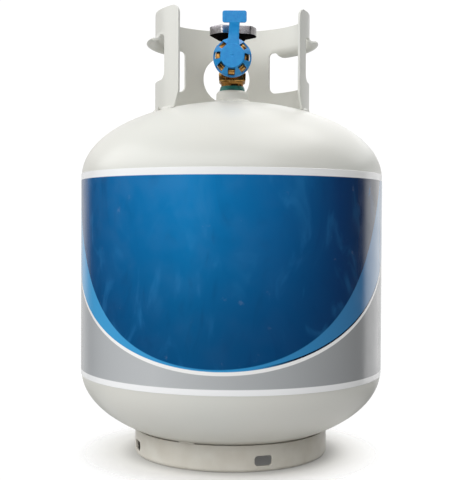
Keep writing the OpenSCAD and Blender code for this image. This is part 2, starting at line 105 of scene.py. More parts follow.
CAP_FRONT = -span("dust_cap")[0].y
CAP_BACK = -span("dust_cap")[1].y


# ---------------------------------------------------------------- camera, light and floor

def make_camera():
    """Eye level with the middle of the tank, a metre in front of it, with a slight downward tilt."""
    data = bpy.data.cameras.new("camera")
    data.lens = 71.5
    data.sensor_width = 36
    data.shift_x = -0.0062
    data.clip_end = 50
    camera = bpy.data.objects.new("camera", data)
    scene.collection.objects.link(camera)
    tilt = math.radians(90 - 0.985)
    turn = Matrix.Rotation(tilt, 4, "X") @ Matrix.Rotation(0.0049, 4, "Z")
    camera.matrix_world = Matrix.Translation((0, -0.9956, 0.2358)) @ turn
    scene.camera = camera


class Nodes:
    """Short names for making and linking the nodes of one tree."""

    def __init__(self, tree):
        self.tree = tree

    def node(self, kind, **settings):
        made = self.tree.nodes.new("ShaderNode" + kind)
        for key, value in settings.items():
            setattr(made, key, value)
        return made

    def put(self, socket, value):
        if isinstance(value, bpy.types.NodeSocket):
            self.tree.links.new(value, socket)
        else:
            socket.default_value = value

    def math(self, operation, a, b=0.0, clamp=False):
        made = self.node("Math", operation=operation, use_clamp=clamp)
        self.put(made.inputs[0], a)
        self.put(made.inputs[1], b)
        return made.outputs[0]

    def ease(self, value, low, high, out_low=0.0, out_high=1.0):
        made = self.node("MapRange", interpolation_type="SMOOTHSTEP")
        for socket, number in zip(made.inputs, (value, low, high, out_low, out_high)):
            self.put(socket, number)
        return made.outputs["Result"]


class Sky(Nodes):
    """Strength of the studio light as a function of direction, built from soft-edged panels."""

    def __init__(self, tree, dim):
        super().__init__(tree)
        split = self.node("SeparateXYZ")
        self.put(split.inputs[0], self.node("TexCoord").outputs["Generated"])
        x, y, self.up = split.outputs
        self.azimuth = self.math("ARCTAN2", x, self.math("MULTIPLY", y, -1.0))
        self.total = dim

    def panel(self, azimuths, elevations, soft, strength):
        """Adds a panel between two azimuths and two elevations, with edges soft degrees wide."""
        low, high = (math.radians(a) for a in azimuths)
        bottom, top = (math.radians(e) for e in elevations)
        edge = math.radians(soft)
        window = self.math("MULTIPLY", self.ease(self.azimuth, low - edge / 2, low + edge / 2),
                           self.ease(self.azimuth, high + edge / 2, high - edge / 2))
        if bottom > -math.pi / 2:
            rise = self.ease(self.up, math.sin(bottom - edge / 4), math.sin(bottom + edge / 4))
            window = self.math("MULTIPLY", window, rise)
        if top < math.pi / 2:
            fall = self.ease(self.up, math.sin(top + edge / 2), math.sin(top - edge / 2))
            window = self.math("MULTIPLY", window, fall)
        self.total = self.math("ADD", self.math("MULTIPLY", window, strength), self.total)


def make_world():
    """White backdrop for the eye. The tank itself is lit by soft panels of light round it."""
    world = bpy.data.worlds.new("studio")
    scene.world = world
    world.use_nodes = True
    tree = world.node_tree
    sky = Sky(tree, 0.03)
    sky.panel((-120, -14), (9, 46), 18, 2.75)
    sky.panel((-14, 32), (14, 48), 18, 2.7)
    sky.panel((32, 150), (50, 84), 18, 2.5)
    sky.panel((-200, 200), (64, 90), 24, 0.3)
    sky.panel((108, 200), (16, 62), 16, 1.5)
    sky.panel((-200, -120), (16, 62), 16, 0.6)
    sky.panel((118, 150), (-12, 10), 10, 1.1)
    sky.panel((150, 200), (-16, 20), 12, 0.85)
    sky.panel((-200, -138), (-16, 20), 24, 0.6)
    sky.panel((-200, 200), (-90, -26), 12, 0.75)
    eye = tree.nodes.new("ShaderNodeLightPath").outputs["Is Camera Ray"]
    either = tree.nodes.new("ShaderNodeMix")
    tree.links.new(eye, either.inputs["Factor"])
    tree.links.new(sky.total, either.inputs["A"])
    either.inputs["B"].default_value = 1.05
    background = tree.nodes["Background"]
    tree.links.new(either.outputs["Result"], background.inputs["Strength"])
    background.inputs["Color"].default_value = (1, 1, 1, 1)


def make_floor():
    """Pale floor, darker in the foot ring's soft shadow, that fades into the white backdrop."""
    bpy.ops.mesh.primitive_circle_add(vertices=96, radius=0.45, fill_type="NGON")
    floor = bpy.context.object
    floor.name = "floor"
    graph = Graph("floor_white")
    reach = graph.node("VectorMath", operation="LENGTH")
    graph.put(reach.inputs[0], graph.coords)
    reach = reach.outputs["Value"]
    shade = graph.mix(graph.noise(0.25, detail=2), (0.86, 0.85, 0.82, 1), (0.89, 0.88, 0.85, 1))
    contact = graph.ease(reach, 0.097, 0.120, 0.50, 0.0)
    graph.base(graph.mix(contact, shade, (0.20, 0.20, 0.19, 1)))
    graph.shader.inputs["Roughness"].default_value = 0.6
    graph.put(graph.shader.inputs["Alpha"], graph.ease(reach, 0.10, 0.18, 0.92, 0.0))
    floor.data.materials.append(graph.material)


def make_stage():
    """White floor, studio light and a plain tone curve."""
    scene.view_settings.view_transform = "Standard"
    make_world()
    make_floor()


# ---------------------------------------------------------------- materials

class Graph(Nodes):
    """Nodes of one material."""

    def __init__(self, name):
        self.material = bpy.data.materials.new(name)
        self.material.use_nodes = True
        super().__init__(self.material.node_tree)
        self.shader = self.tree.nodes["Principled BSDF"]
        self.coords = self.node("TexCoord").outputs["Object"]

    def stretch(self, scale):
        made = self.node("Mapping")
        self.put(made.inputs["Vector"], self.coords)
        made.inputs["Scale"].default_value = scale
        return made.outputs["Vector"]

    def noise(self, size, detail=3.0, vector=None, rough=0.5, warp=0.0):
        """Noise whose features are about size metres across, from 0 to 1; warp curls them."""
        made = self.node("TexNoise")
        self.put(made.inputs["Vector"], vector or self.coords)
        made.inputs["Scale"].default_value = 1 / size
        made.inputs["Detail"].default_value = detail
        made.inputs["Roughness"].default_value = rough
        made.inputs["Distortion"].default_value = warp
        return made.outputs["Fac"]

    def mix(self, factor, a, b, blend="MIX"):
        made = self.node("Mix", data_type="RGBA", blend_type=blend)
        self.put(made.inputs["Factor"], factor)
        self.put(made.inputs["A"], a)
        self.put(made.inputs["B"], b)
        return made.outputs["Result"]

    def ramp(self, value, stops):
        made = self.node("ValToRGB")
        self.put(made.inputs["Fac"], value)
        points = made.color_ramp.elements
        while len(points) < len(stops):
            points.new(0.5)
        for point, (place, colour) in zip(points, stops):
            point.position = place
            point.color = colour
        return made.outputs["Color"]

    def base(self, colour):
        self.put(self.shader.inputs["Base Color"], colour)

    def rough(self, value, low, high):
        self.put(self.shader.inputs["Roughness"], self.ease(value, 0.3, 0.7, low, high))

    def bump(self, height, depth, below=None):
        """Bump of depth metres, on top of another one where below is given."""
        made = self.node("Bump")
        made.inputs["Strength"].default_value = 1.0
        made.inputs["Distance"].default_value = depth
        self.put(made.inputs["Height"], height)
        if below:
            self.put(made.inputs["Normal"], below)
        self.put(self.shader.inputs["Normal"], made.outputs["Normal"])
        return made.outputs["Normal"]

    def edges(self, start=0.515, end=0.56):
        """1 on outward edges and 0 on flat faces."""
        return self.ease(self.node("NewGeometry").outputs["Pointiness"], start, end)


def rgb(red, green, blue):
    """Colour from screen values of 0 to 255."""
    return tuple(((c / 255 + 0.055) / 1.055) ** 2.4 for c in (red, green, blue)) + (1,)


def plain_finish(name, colour, other, metallic=0.0, rough=(0.3, 0.45), patch=18.0, grain=0.8,
                 depth=0.012, stretch=None, edge=None, under=None):
    """Two close colours in soft patches, uneven roughness, a fine grain and, if edge is given, edges in that
    colour as wear or as a painted highlight, as set at each call; if under is given, faces that point down
    take that colour as painted shade.
    """
    graph = Graph(name)
    vector = graph.stretch(stretch) if stretch else graph.coords
    tone = graph.ease(graph.noise(patch * MM, 4, vector), 0.3, 0.7)
    surface = graph.mix(tone, colour, other)
    # Edges in the edge colour: worn edges, and where that colour is lighter than the metal, as on the wheel,
    # a painted highlight too.
    if edge:
        broken = graph.ease(graph.noise(2.5 * MM, 4), 0.42, 0.6)
        surface = graph.mix(graph.math("MULTIPLY", graph.edges(), broken), surface, edge)
    # Painted shade: skin marks the faces that point down, which get the under colour, with the metal turned
    # off and the roughness raised there.
    if under:
        facing = graph.node("SeparateXYZ")
        graph.put(facing.inputs[0], graph.node("TexCoord").outputs["Normal"])
        skin = graph.ease(facing.outputs["Z"], -0.35, -0.10, 1.0, 0.0)
        surface = graph.mix(skin, surface, under)
    graph.base(surface)
    graph.shader.inputs["Metallic"].default_value = metallic
    graph.rough(graph.noise(patch * 0.5 * MM, 5), *rough)
    if under:
        graph.put(graph.shader.inputs["Metallic"], graph.math("SUBTRACT", metallic, skin, clamp=True))
        dull = graph.math("MULTIPLY", skin, 0.65)
        smooth = graph.ease(graph.noise(patch * 0.5 * MM, 5), 0.3, 0.7, *rough)
        graph.put(graph.shader.inputs["Roughness"], graph.math("ADD", smooth, dull))
        graph.put(graph.shader.inputs["Specular IOR Level"], graph.math("SUBTRACT", 0.5, dull, clamp=True))
    broad = graph.bump(graph.noise(patch * 0.4 * MM, 2), depth * 2 * MM)
    graph.bump(graph.noise(grain * MM, 2, vector), depth * MM, broad)
    return graph.material


def paint():
    """Gloss off-white enamel: orange peel, faint warm patches, a mottled darkening low down that is partly
    grime and partly painted shade, scuffed edges.
    """
    graph = Graph("body_paint")
    tone = graph.ease(graph.noise(0.10, 2), 0.2, 0.8)
    colour = graph.mix(tone, rgb(216, 217, 211), rgb(219, 218, 211))
    height = graph.node("SeparateXYZ")
    graph.put(height.inputs[0], graph.coords)
    # Painted shade with grime: below the top of the foot ring the enamel is painted darker and browner in
    # mottled patches, for the shade under the body.
    low = graph.ease(height.outputs["Z"], 0.027, 0.034, 0.52, 0.0)
    dust = graph.math("MULTIPLY", low, graph.ease(graph.noise(0.02, 4), 0.20, 0.80, 0.6, 1.0))
    colour = graph.mix(dust, colour, rgb(158, 146, 128))
    specks = graph.ease(graph.noise(0.0022, 1), 0.82, 0.86, 0.0, 0.35)
    colour = graph.mix(specks, colour, rgb(140, 132, 118))
    broken = graph.ease(graph.noise(0.004, 4), 0.55, 0.65, 0.0, 0.5)
    worn = graph.math("MULTIPLY", graph.edges(0.54, 0.62), broken)
    graph.base(graph.mix(worn, colour, rgb(134, 128, 118)))
    graph.rough(graph.noise(0.05, 3), 0.34, 0.42)
    graph.shader.inputs["Coat Weight"].default_value = 0.12
    graph.shader.inputs["Coat Roughness"].default_value = 0.12
    waves = graph.bump(graph.noise(0.05, 2), 0.00006)
    graph.bump(graph.noise(0.0019, 1.5), 0.000010, waves)
    return graph.material


def arc_height(graph, azimuth, centre, lowest, square, fourth):
    """Height in metres of a printed arc that dips at an azimuth of centre degrees."""
    t = graph.math("SUBTRACT", azimuth, math.radians(centre))
    t2 = graph.math("MULTIPLY", t, t)
    rise = graph.math("MULTIPLY", t2, graph.math("ADD", graph.math("MULTIPLY", t2, fourth), square))
    return graph.math("ADD", rise, lowest)


def printed_film():
    """Gloss film: white bands, a blue field in a curved border with a light crescent, silver below."""
    graph = Graph("sleeve_print")
    place = graph.node("SeparateXYZ")
    graph.put(place.inputs[0], graph.coords)
    x, y, z = place.outputs
    azimuth = graph.math("ARCTAN2", x, graph.math("MULTIPLY", y, -1.0))
    across = graph.node("MapRange")
    for socket, number in zip(across.inputs, (azimuth, math.radians(-90), math.radians(90), 0.0, 1.0)):
        graph.put(socket, number)
    across = across.outputs["Result"]

    # Blue field with painted light: a painted highlight left of the middle near the top, painted shade to
    # navy towards the right and towards the bottom
    blue = graph.ramp(across, [
        (0.05, rgb(4, 66, 116)), (0.22, rgb(6, 98, 158)), (0.42, rgb(5, 128, 194)),
        (0.58, rgb(6, 100, 162)), (0.72, rgb(12, 58, 108)), (0.86, rgb(3, 20, 42))])
    # Painted shade: the blue is darkened towards the bottom.
    shade = graph.ease(z, 0.100, 0.285, 0.74, 0.0)
    blue = graph.mix(shade, blue, rgb(2, 50, 94))
    polar = graph.node("CombineXYZ")
    graph.put(polar.inputs[0], graph.math("MULTIPLY", azimuth, BODY_R * MM))
    graph.put(polar.inputs[1], graph.math("MULTIPLY", z, 0.4))
    smoke = graph.noise(0.035, 3, polar.outputs[0], warp=1.6)
    blue = graph.mix(graph.ease(smoke, 0.52, 0.78, 0.0, 0.30), blue, rgb(52, 138, 198))
    blue = graph.mix(graph.ease(smoke, 0.24, 0.46, 0.22, 0.0), blue, rgb(2, 40, 84))

    # Curved border: a light crescent inside a white line, with a thin dark line on the right
    rim = arc_height(graph, azimuth, -3.9, 0.1025, 0.0462, 0.0005)
    inner = arc_height(graph, azimuth, -5.5, 0.1061, 0.0612, 0.0197)
    line = graph.math("SUBTRACT", z, rim)
    # The crescent's colour also carries painted light: lighter on the left, with painted shade to the right
    # of the middle.
    pale = graph.ramp(across, [(0.1, rgb(74, 164, 218)), (0.5, rgb(52, 150, 208)),
                               (0.8, rgb(60, 116, 164)), (0.9, rgb(110, 150, 186))])
    in_crescent = graph.ease(graph.math("SUBTRACT", z, inner), -0.0006, 0.0006, 1.0, 0.0)
    colour = graph.mix(in_crescent, blue, pale)
    on_right = graph.ease(azimuth, 0.1, 0.4)
    dark = graph.math("MULTIPLY", graph.ease(line, 0.0030, 0.0038, 1.0, 0.0), on_right)
    colour = graph.mix(dark, colour, rgb(10, 26, 52))
    colour = graph.mix(graph.ease(line, 0.0014, 0.0020, 1.0, 0.0), colour, rgb(249, 249, 248))

    # Silver field below the line, with a painted highlight left of the middle and painted shade that falls
    # off to the right
    silver_painted_light = graph.ramp(across, [
        (0.0, rgb(156, 158, 161)), (0.1, rgb(168, 171, 174)), (0.35, rgb(192, 195, 197)),
        (0.6, rgb(173, 176, 178)), (0.88, rgb(136, 137, 138)), (1.0, rgb(156, 158, 161))])
    colour = graph.mix(graph.ease(line, -0.0020, -0.0014, 1.0, 0.0), colour, silver_painted_light)
    # The white bands are painted a little darker towards the right: painted shade.
    white = graph.ramp(across, [(0.6, rgb(249, 250, 251)), (0.95, rgb(226, 226, 225)),
                                (1.0, rgb(249, 250, 251))])
    colour = graph.mix(graph.ease(z, 0.0882, 0.0888, 1.0, 0.0), colour, white)
    colour = graph.mix(graph.ease(z, 0.2790, 0.2796), colour, white)

    scuffs = graph.ease(graph.noise(0.010, 5), 0.68, 0.80, 0.0, 0.06)
    graph.base(graph.mix(scuffs, colour, rgb(210, 212, 214)))
    graph.rough(graph.noise(0.02, 4), 0.16, 0.26)
    graph.shader.inputs["Coat Weight"].default_value = 0.5
    graph.shader.inputs["Coat Roughness"].default_value = 0.07
    pulled = graph.bump(graph.noise(0.03, 2, graph.stretch((1, 1, 0.25))), 0.00007)
    graph.bump(graph.noise(0.0012, 1), 0.000004, pulled)
    return graph.material


def make_materials():
    """One material for each of the record's slots."""
    brass, dull = rgb(178, 130, 70), rgb(142, 99, 50)
    bright = rgb(216, 178, 110)
    turned = (1, 1, 14)
    return {
        "body_paint": paint(),
        "sleeve_print": printed_film(),
        "weld_steel": plain_finish("weld_steel", rgb(150, 146, 140), rgb(104, 98, 92), 0.9, (0.35, 0.6), 6),
        "sealant": plain_finish("sealant", rgb(24, 128, 116), rgb(12, 92, 88), 0, (0.35, 0.6), 3, 0.6, 0.06),
        "valve_brass": plain_finish("valve_brass", brass, dull, 1, (0.16, 0.26), 9, 0.6, 0.010, edge=bright),
        "stem_brass": plain_finish("stem_brass", bright, brass, 1, (0.16, 0.32), 9, 0.4, 0.008, turned),
        # The wheel's light edge colour is a painted highlight on its corners as well as wear; its near-black
        # under colour is painted shade on the faces that point down.
        "wheel_zinc": plain_finish("wheel_zinc", rgb(178, 175, 180), rgb(148, 144, 149), 1, (0.15, 0.26),
                                   8, 0.5, 0.012, edge=rgb(220, 218, 218), under=rgb(24, 22, 23)),
        "steel_hardware": plain_finish("steel_hardware", rgb(186, 186, 188), rgb(150, 150, 154), 1,
                                       (0.2, 0.36), 5, 0.4, 0.01),
        "spring_steel": plain_finish("spring_steel", rgb(160, 160, 163), rgb(120, 120, 124), 1,
                                     (0.25, 0.4), 3, 0.3, 0.008),
        "seal_rubber": plain_finish("seal_rubber", rgb(38, 38, 39), rgb(28, 28, 29), 0,
                                    (0.5, 0.7), 4, 0.4, 0.02),
        "opd_plastic": plain_finish("opd_plastic", rgb(222, 216, 198), rgb(208, 201, 182), 0, (0.4, 0.55), 9),
        "float_plastic": plain_finish("float_plastic", rgb(48, 48, 50), rgb(34, 34, 36), 0, (0.55, 0.75),
                                      5, 0.9, 0.08),
        "cap_plastic": plain_finish("cap_plastic", rgb(10, 138, 214), rgb(22, 150, 220), 0, (0.34, 0.48),
                                    4, 0.9, 0.05),
    }


# ---------------------------------------------------------------- mesh tools

def finished(bm, name, sharp=35.0):
    """Mesh in metres from a bmesh in millimetres, smooth except where faces meet at over sharp degrees."""
    bmesh.ops.remove_doubles(bm, verts=bm.verts, dist=1e-4)
    bmesh.ops.recalc_face_normals(bm, faces=bm.faces)
    bm.transform(Matrix.Scale(MM, 4))
    mesh = bpy.data.meshes.new(name)
    bm.to_mesh(mesh)
    bm.free()
    for polygon in mesh.polygons:
        polygon.use_smooth = True
    mesh.set_sharp_from_angle(angle=math.radians(sharp))
    return mesh


def rounded(points, steps=4):
    """Closed outline from (x, y) or (x, y, radius) corners; a corner with a radius becomes an arc."""
    out = []
    for i, corner in enumerate(points):
        here = Vector(corner[:2])
        if len(corner) == 2:
            out.append(here)
            continue
        before = (Vector(points[i - 1][:2]) - here)
        after = (Vector(points[(i + 1) % len(points)][:2]) - here)
        half = before.angle(after) / 2
        back = min(corner[2] / math.tan(half), 0.49 * before.length, 0.49 * after.length)
        before.normalize()
        after.normalize()
        centre = here + (before + after).normalized() * back / math.cos(half)
        first = here + before * back - centre
        turn = math.pi - 2 * half
        if first.cross(here + after * back - centre) < 0:
            turn = -turn
        out += [centre + Matrix.Rotation(turn * k / steps, 2) @ first for k in range(steps + 1)]
    return out


def arc_points(x, y, radius, start, end, steps):
    """Points of an arc, both angles in degrees."""
    angles = [math.radians(start + (end - start) * k / steps) for k in range(steps + 1)]
    return [Vector((x + radius * math.cos(a), y + radius * math.sin(a))) for a in angles]


def revolve(bm, profile, steps, place, wave=None):
    """Turns a closed profile of (radius, height) into a skin; place maps (radius, angle, height)."""
    rings = []
    for radius, height in profile:
        if radius < 1e-6:
            rings.append([bm.verts.new(place(0, 0, height))] * steps)
            continue
        ring = []
        for k in range(steps):
            angle = 2 * math.pi * k / steps
            r = wave(radius, angle, height) if wave else radius
            ring.append(bm.verts.new(place(r, angle, height)))
        rings.append(ring)
    for one, two in zip(rings, rings[1:] + rings[:1]):
        for k in range(steps):
            n = (k + 1) % steps
            corners = list(dict.fromkeys([one[k], one[n], two[n], two[k]]))
            if len(corners) > 2:
                bm.faces.new(corners)


def upright(radius, angle, height):
    return Vector((radius * math.sin(angle), -radius * math.cos(angle), height))


def along_outlet(radius, angle, height):
    """Round the outlet's axis: height counts from the spindle's axis to the front."""
    return Vector((radius * math.sin(angle), -height, OUTLET_Z + radius * math.cos(angle)))


def along_relief(radius, angle, height):
    """Round the relief port's axis: height counts from the spindle's axis to the back."""
    return Vector((radius * math.sin(angle), height, RELIEF_Z + radius * math.cos(angle)))


def lathe(name, profile, steps=192, place=upright, wave=None, sharp=35.0):
    bm = bmesh.new()
    revolve(bm, profile, steps, place, wave)
    return finished(bm, name, sharp)


def inwards(outline, distance):
    """A counterclockwise outline moved inwards by distance."""
    moved = []
    for i, here in enumerate(outline):
        one = (here - outline[i - 1]).normalized()
        two = (outline[(i + 1) % len(outline)] - here).normalized()
        normal = Vector((-one.y - two.y, one.x + two.x)).normalized()
        stretch = max(0.5, normal.dot(Vector((-one.y, one.x))))
        moved.append(here + normal * distance / stretch)
    return moved


def prism(name, outline, low, high, edge, place=None, taper=0.0):
    """Solid with a counterclockwise outline and rounded rims, along +Z unless place maps (x, y, z)."""
    steps = 3
    levels = []
    for k in range(steps + 1):
        a = math.pi / 2 * k / steps
        levels.append((edge * (1 - math.sin(a)), low + edge * (1 - math.cos(a))))
    levels += [(inset, low + high - z) for inset, z in reversed(levels)]
    bm = bmesh.new()
    rings = []
    for inset, z in levels:
        flare = 1 + taper * (z - low) / (high - low)
        points = [Vector((p.x * flare, p.y * flare, z)) for p in inwards(outline, inset)]
        rings.append([bm.verts.new(place(*p) if place else p) for p in points])
    for one, two in zip(rings, rings[1:]):
        for k in range(len(one)):
            n = (k + 1) % len(one)
            bm.faces.new((one[k], one[n], two[n], two[k]))
    bm.faces.new(rings[0])
    bm.faces.new(rings[-1])
    return finished(bm, name)


def combine(base, operation, others, sharp=35.0):
    """Boolean of a mesh with several others, one after the other."""
    holder = bpy.data.objects.new("base", base)
    scene.collection.objects.link(holder)
    tools = []
    for other in others:
        tool = bpy.data.objects.new("tool", other)
        scene.collection.objects.link(tool)
        modifier = holder.modifiers.new("cut", "BOOLEAN")
        modifier.operation = operation
        modifier.solver = "EXACT"
        modifier.object = tool
        tools.append(tool)
    bpy.context.view_layer.update()
    made = bpy.data.meshes.new_from_object(holder.evaluated_get(bpy.context.evaluated_depsgraph_get()))
    made.name = base.name
    for done in tools + [holder]:
        bpy.data.objects.remove(done)
    for polygon in made.polygons:
        polygon.use_smooth = True
    made.set_sharp_from_angle(angle=math.radians(sharp))
    return made


def rolled_sheet(name, outlines, thickness, edge, cuts_along, cuts_up, place):
    """Plate with rounded edges, cut from flat outlines of (along, up) and then bent by place."""
    curve = bpy.data.curves.new("flat", "CURVE")
    curve.dimensions = "2D"
    curve.fill_mode = "BOTH"
    curve.extrude = thickness / 2 - edge
    curve.bevel_depth = edge
    curve.bevel_resolution = 1
    curve.offset = -edge
    for outline in outlines:
        spline = curve.splines.new("POLY")
        spline.points.add(len(outline) - 1)
        for point, here in zip(spline.points, outline):
            point.co = (here[0], here[1], 0, 1)
        spline.use_cyclic_u = True
    holder = bpy.data.objects.new("flat", curve)
    scene.collection.objects.link(holder)
    bpy.context.view_layer.update()
    flat = bpy.data.meshes.new_from_object(holder.evaluated_get(bpy.context.evaluated_depsgraph_get()))
    bpy.data.objects.remove(holder)
    bm = bmesh.new()
    bm.from_mesh(flat)
    bmesh.ops.remove_doubles(bm, verts=bm.verts, dist=1e-3)
    for axis, cuts in ((0, cuts_along), (1, cuts_up)):
        for cut in cuts:
            point = Vector((cut if axis == 0 else 0, cut if axis == 1 else 0, 0))
            normal = Vector((1 - axis, axis, 0))
            everything = bm.verts[:] + bm.edges[:] + bm.faces[:]
            bmesh.ops.bisect_plane(bm, geom=everything, plane_co=point, plane_no=normal, dist=1e-3)
    for vertex in bm.verts:
        vertex.co = place(*vertex.co)
    return finished(bm, name, 42)


def bead(name, start, end, corner, plate, toe):
    """Rippled weld between two azimuths. It fills corner, with one leg up the plate and one on the head."""
    length = math.radians(end - start) * corner[0]
    whole = end - start >= 360
    count = max(8, int(length / 0.45))
    corner, plate, toe = Vector(corner), Vector(plate), Vector(toe)
    sunk = corner - (plate + toe) * 0.12
    bm = bmesh.new()
    rings = []
    for k in range(count if whole else count + 1):
        share = k / count
        along = share * length
        size = 0.92 + 0.07 * math.sin(2 * math.pi * along / 1.9) + randoms.uniform(-0.03, 0.03)
        if not whole:
            size *= min(1.0, 0.35 + 0.65 * min(share, 1 - share) * length / 2.5)
        azimuth = math.radians(start + (end - start) * share)
        points = [sunk]
        for step in range(7):
            a = math.radians(-6 + 102 * step / 6)
            points.append(corner + (plate * math.cos(a) + toe * math.sin(a)) * size * 0.86)
        rings.append([bm.verts.new(upright(p.x, azimuth, p.y)) for p in points])
    pairs = list(zip(rings, rings[1:]))
    if whole:
        pairs.append((rings[-1], rings[0]))
    for one, two in pairs:
        for k in range(len(one)):
            n = (k + 1) % len(one)
            bm.faces.new((one[k], one[n], two[n], two[k]))
    if not whole:
        bm.faces.new(rings[0])
        bm.faces.new(rings[-1])
    return finished(bm, name, 60)


def add(mesh, node, *more, name=None):
    """Shows mesh in place of a CAD node, on its body and with its material."""
    made = bpy.data.objects.new(name or "look_" + node, mesh)
    scene.collection.objects.link(made)
    mesh.materials.clear()
    mesh.materials.append(MATERIALS[SLOT_OF[node]])
    flat = made.modifiers.new("flat_faces", "WEIGHTED_NORMAL")
    flat.keep_sharp = True
    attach(made, BODY_OF[node])
    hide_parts(node, *more)
    return made


# ---------------------------------------------------------------- tank

def head_z(radius):
    """Height of the upper head's outside above its tangent line."""
    return HEAD_H * math.sqrt(1 - (radius / BODY_R) ** 2)


def half_profile(hole, skirt):
    """One deep-drawn half, open at the skirt, as (radius, height above the tangent line)."""
    steps = 56
    reach = math.degrees(math.acos(hole / BODY_R))
    outer, inner = [(BODY_R, -skirt)], []
    for k in range(steps + 1):
        a = math.radians(reach * k / steps)
        outer.append((BODY_R * math.cos(a), HEAD_H * math.sin(a)))
        inner.append((max(0, (BODY_R - WALL) * math.cos(a)), (HEAD_H - WALL) * math.sin(a)))
    if not hole:
        outer[-1] = (0, HEAD_H)
        inner[-1] = (0, HEAD_H - WALL)
    return outer + inner[::-1] + [(BODY_R - WALL, -skirt)]


def build_shells():
    upper = [(r, TANGENT_HIGH + h) for r, h in half_profile(BOSS_R, TANGENT_HIGH - GIRTH_HIGH)]
    lower = [(r, TANGENT_LOW - h) for r, h in half_profile(0, GIRTH_LOW - TANGENT_LOW)]
    add(lathe("upper_half", upper, 288), "upper_shell")
    add(lathe("lower_half", lower, 288), "lower_shell")


def build_sleeve():
    """Film that hugs the shell. Its two ends overlap in a low step at the back."""
    film = SLEEVE_R - BODY_R

    def hug(z):
        if z < TANGENT_LOW:
            return BODY_R * math.sqrt(1 - ((TANGENT_LOW - z) / HEAD_H) ** 2)
        if z > TANGENT_HIGH:
            return BODY_R * math.sqrt(1 - ((z - TANGENT_HIGH) / HEAD_H) ** 2)
        return BODY_R

    heights = [SLEEVE_LOW + (SLEEVE_HIGH - SLEEVE_LOW) * k / 60 for k in range(61)]
    outer = [(hug(z) + film, z) for z in heights]
    outer[0] = (hug(SLEEVE_LOW) + film * 0.6, SLEEVE_LOW)
    outer[-1] = (hug(SLEEVE_HIGH) + film * 0.6, SLEEVE_HIGH)
    outer.insert(1, (hug(SLEEVE_LOW) + film, SLEEVE_LOW + 0.2))
    outer.insert(-1, (hug(SLEEVE_HIGH) + film, SLEEVE_HIGH - 0.2))
    inner = [(hug(z) + 0.05, z) for z in reversed(heights)]
    overlap = math.radians(8)

    def seam(radius, angle, height):
        past = angle - math.pi
        if radius > hug(height) + 0.1 and 0 < past < overlap:
            return radius + 0.22 * (1 - past / overlap)
        return radius

    add(lathe("film", outer + inner, 360, wave=seam), "label_sleeve")


def bent_path(points):
    """Function from the length along a polyline of (radius, height) to a place on it and its direction."""
    lengths = [0.0]
    for one, two in zip(points, points[1:]):
        lengths.append(lengths[-1] + (two - one).length)

    def at(length):
        i = 0
        while i < len(points) - 2 and lengths[i + 1] < length:
            i += 1
        direction = (points[i + 1] - points[i]).normalized()
        return points[i] + direction * (length - lengths[i]), direction

    return at, lengths[-1]


def build_foot_ring():
    """Strip rolled into a ring and welded at the back, with its lower edge turned in, and four slots."""
    mid = FOOT_R - FOOT_T / 2
    bend = 2.6
    inner_end = FOOT_R - 9.0
    path = [Vector((mid, FOOT_TOP))]
    path += arc_points(mid - bend, FOOT_T / 2 + bend, bend, 0, -90, 8)
    path.append(Vector((inner_end, FOOT_T / 2)))
    at, length = bent_path(path)
    whole = 2 * math.pi * mid
    slot_up = FOOT_TOP - 10.8
    strip = [(0.02, -length), (whole - 0.02, -length), (whole - 0.02, 0), (0.02, 0)]
    outlines = [strip]
    for k in range(4):
        centre = (math.radians(180 + SLOT_AZ + 90 * k) % (2 * math.pi)) * mid
        corners = [(-1, -1), (1, -1), (1, 1), (-1, 1)]
        slot = [(centre + x * 8.75, -slot_up + z * 4.8, 3.4) for x, z in corners]
        outlines.append(rounded(slot, 6))

    def place(along, up, out):
        middle, direction = at(-up)
        point = middle + Vector((-direction.y, direction.x)) * out
        return upright(point.x, along / mid + math.pi, point.y)

    cuts = [whole * k / 240 for k in range(1, 240)]
    levels = [-(length - 14) - 0.5 * k for k in range(24)]
    sheet = rolled_sheet("foot_strip", outlines, FOOT_T, 0.45, cuts, levels, place)
    add(sheet, "foot_ring")


def build_foot_welds():
    """Three stitch welds in the corner between the foot ring and the lower head."""
    slope = 0.42
    seam = TANGENT_LOW - head_z(FOOT_R)
    beads = []
    for k, azimuth in enumerate((-25, 95, 215)):
        corner = (FOOT_R - 0.1, seam - 0.2)
        beads.append(bead(f"foot_weld_{k + 1}", azimuth - 5, azimuth + 5, corner, (0, -1.7),
                          (2.2, 2.2 * slope)))
    add_joined(beads, "foot_ring_welds")


def add_joined(meshes, node):
    """Shows several separate shells as one piece in place of a CAD node."""
    bm = bmesh.new()
    for mesh in meshes:
        bm.from_mesh(mesh)
    joined = bpy.data.meshes.new(node)
    bm.to_mesh(joined)
    bm.free()
    joined.set_sharp_from_angle(angle=math.radians(60))
    return add(joined, node)


def hand_hole_outline():
    """Hand hole as (degrees, height) corners; the grip tab hangs into it between two notches."""
    near, far, low, high = 63.5, 143.4, 380.0, 429.0
    notch, tab, shoulder = 6.4, 15.2, 424.6
    per_degree = COLLAR_MID * math.pi / 180
    corners = [
        (near, low, 8), (far, low, 8), (far, shoulder, 7), (far - notch, shoulder, 1.2),
        (far - notch - 1.0, shoulder - 2.5, 2), (far - notch - 6.6, high - tab, 4),
        (near + notch, high - tab, 3), (near + notch, shoulder, 1.2),
        (near, shoulder, 6)]
    flat = [(c[0] * per_degree, c[1]) + c[2:] for c in corners]
    return rounded(flat, 6), (near + notch / 2) * per_degree, (far - notch / 2) * per_degree


